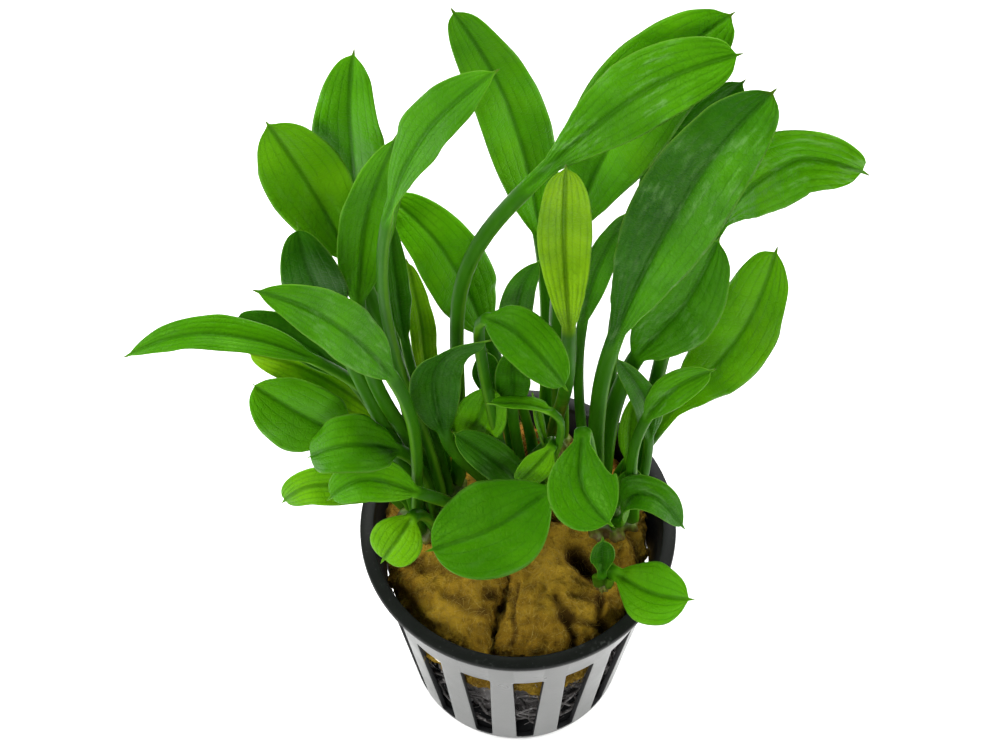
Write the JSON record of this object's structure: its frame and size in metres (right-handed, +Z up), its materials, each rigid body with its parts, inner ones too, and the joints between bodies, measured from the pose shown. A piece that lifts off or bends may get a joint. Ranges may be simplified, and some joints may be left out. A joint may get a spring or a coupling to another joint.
{
  "type": "potted amazon sword plant",
  "caption": "Bushy rosette water plant with stalked glossy oval leaves, rooted in rockwool in a small tapered slotted net pot.",
  "frame": {"origin": "centre of the net pot's underside, where it stands", "axes": "+Z up, +X to the right of the plant's front, +Y to its back"},
  "size_m": [0.1052, 0.0542, 0.1572],
  "materials": {
    "leaf": "satin",
    "crown_tissue": "matte",
    "rockwool": "matte",
    "roots": "matte",
    "pot_plastic": "satin"
  },
  "bodies": {
    "root": {"crown_back": "crown_tissue", "crown_centre": "crown_tissue", "crown_left": "crown_tissue", "crown_plantlet": "crown_tissue", "crown_right": "crown_tissue", "leaf_back_01": "leaf", "leaf_back_02": "leaf", "leaf_back_03": "leaf", "leaf_centre_01": "leaf", "leaf_centre_02": "leaf", "leaf_centre_03": "leaf", "leaf_centre_04": "leaf", "leaf_centre_05": "leaf", "leaf_centre_06": "leaf", "leaf_centre_07": "leaf", "leaf_centre_08": "leaf", "leaf_centre_09": "leaf", "leaf_centre_10": "leaf", "leaf_centre_11": "leaf", "leaf_left_01": "leaf", "leaf_left_02": "leaf", "leaf_left_03": "leaf", "leaf_left_04": "leaf", "leaf_left_05": "leaf", "leaf_left_06": "leaf", "leaf_left_07": "leaf", "leaf_left_08": "leaf", "leaf_left_09": "leaf", "leaf_left_10": "leaf", "leaf_left_11": "leaf", "leaf_left_12": "leaf", "leaf_left_13": "leaf", "leaf_left_14": "leaf", "leaf_left_15": "leaf", "leaf_left_16": "leaf", "leaf_left_17": "leaf", "leaf_plantlet_01": "leaf", "leaf_plantlet_02": "leaf", "leaf_right_01": "leaf", "leaf_right_02": "leaf", "leaf_right_03": "leaf", "leaf_right_04": "leaf", "leaf_right_05": "leaf", "leaf_right_06": "leaf", "leaf_right_07": "leaf", "leaf_right_08": "leaf", "leaf_right_09": "leaf", "leaf_right_10": "leaf", "leaf_right_11": "leaf", "leaf_right_12": "leaf", "leaf_right_13": "leaf", "net_pot": "pot_plastic", "rockwool_back": "rockwool", "rockwool_left": "rockwool", "rockwool_right": "rockwool", "root_mat": "roots"}
  },
  "joints": []
}
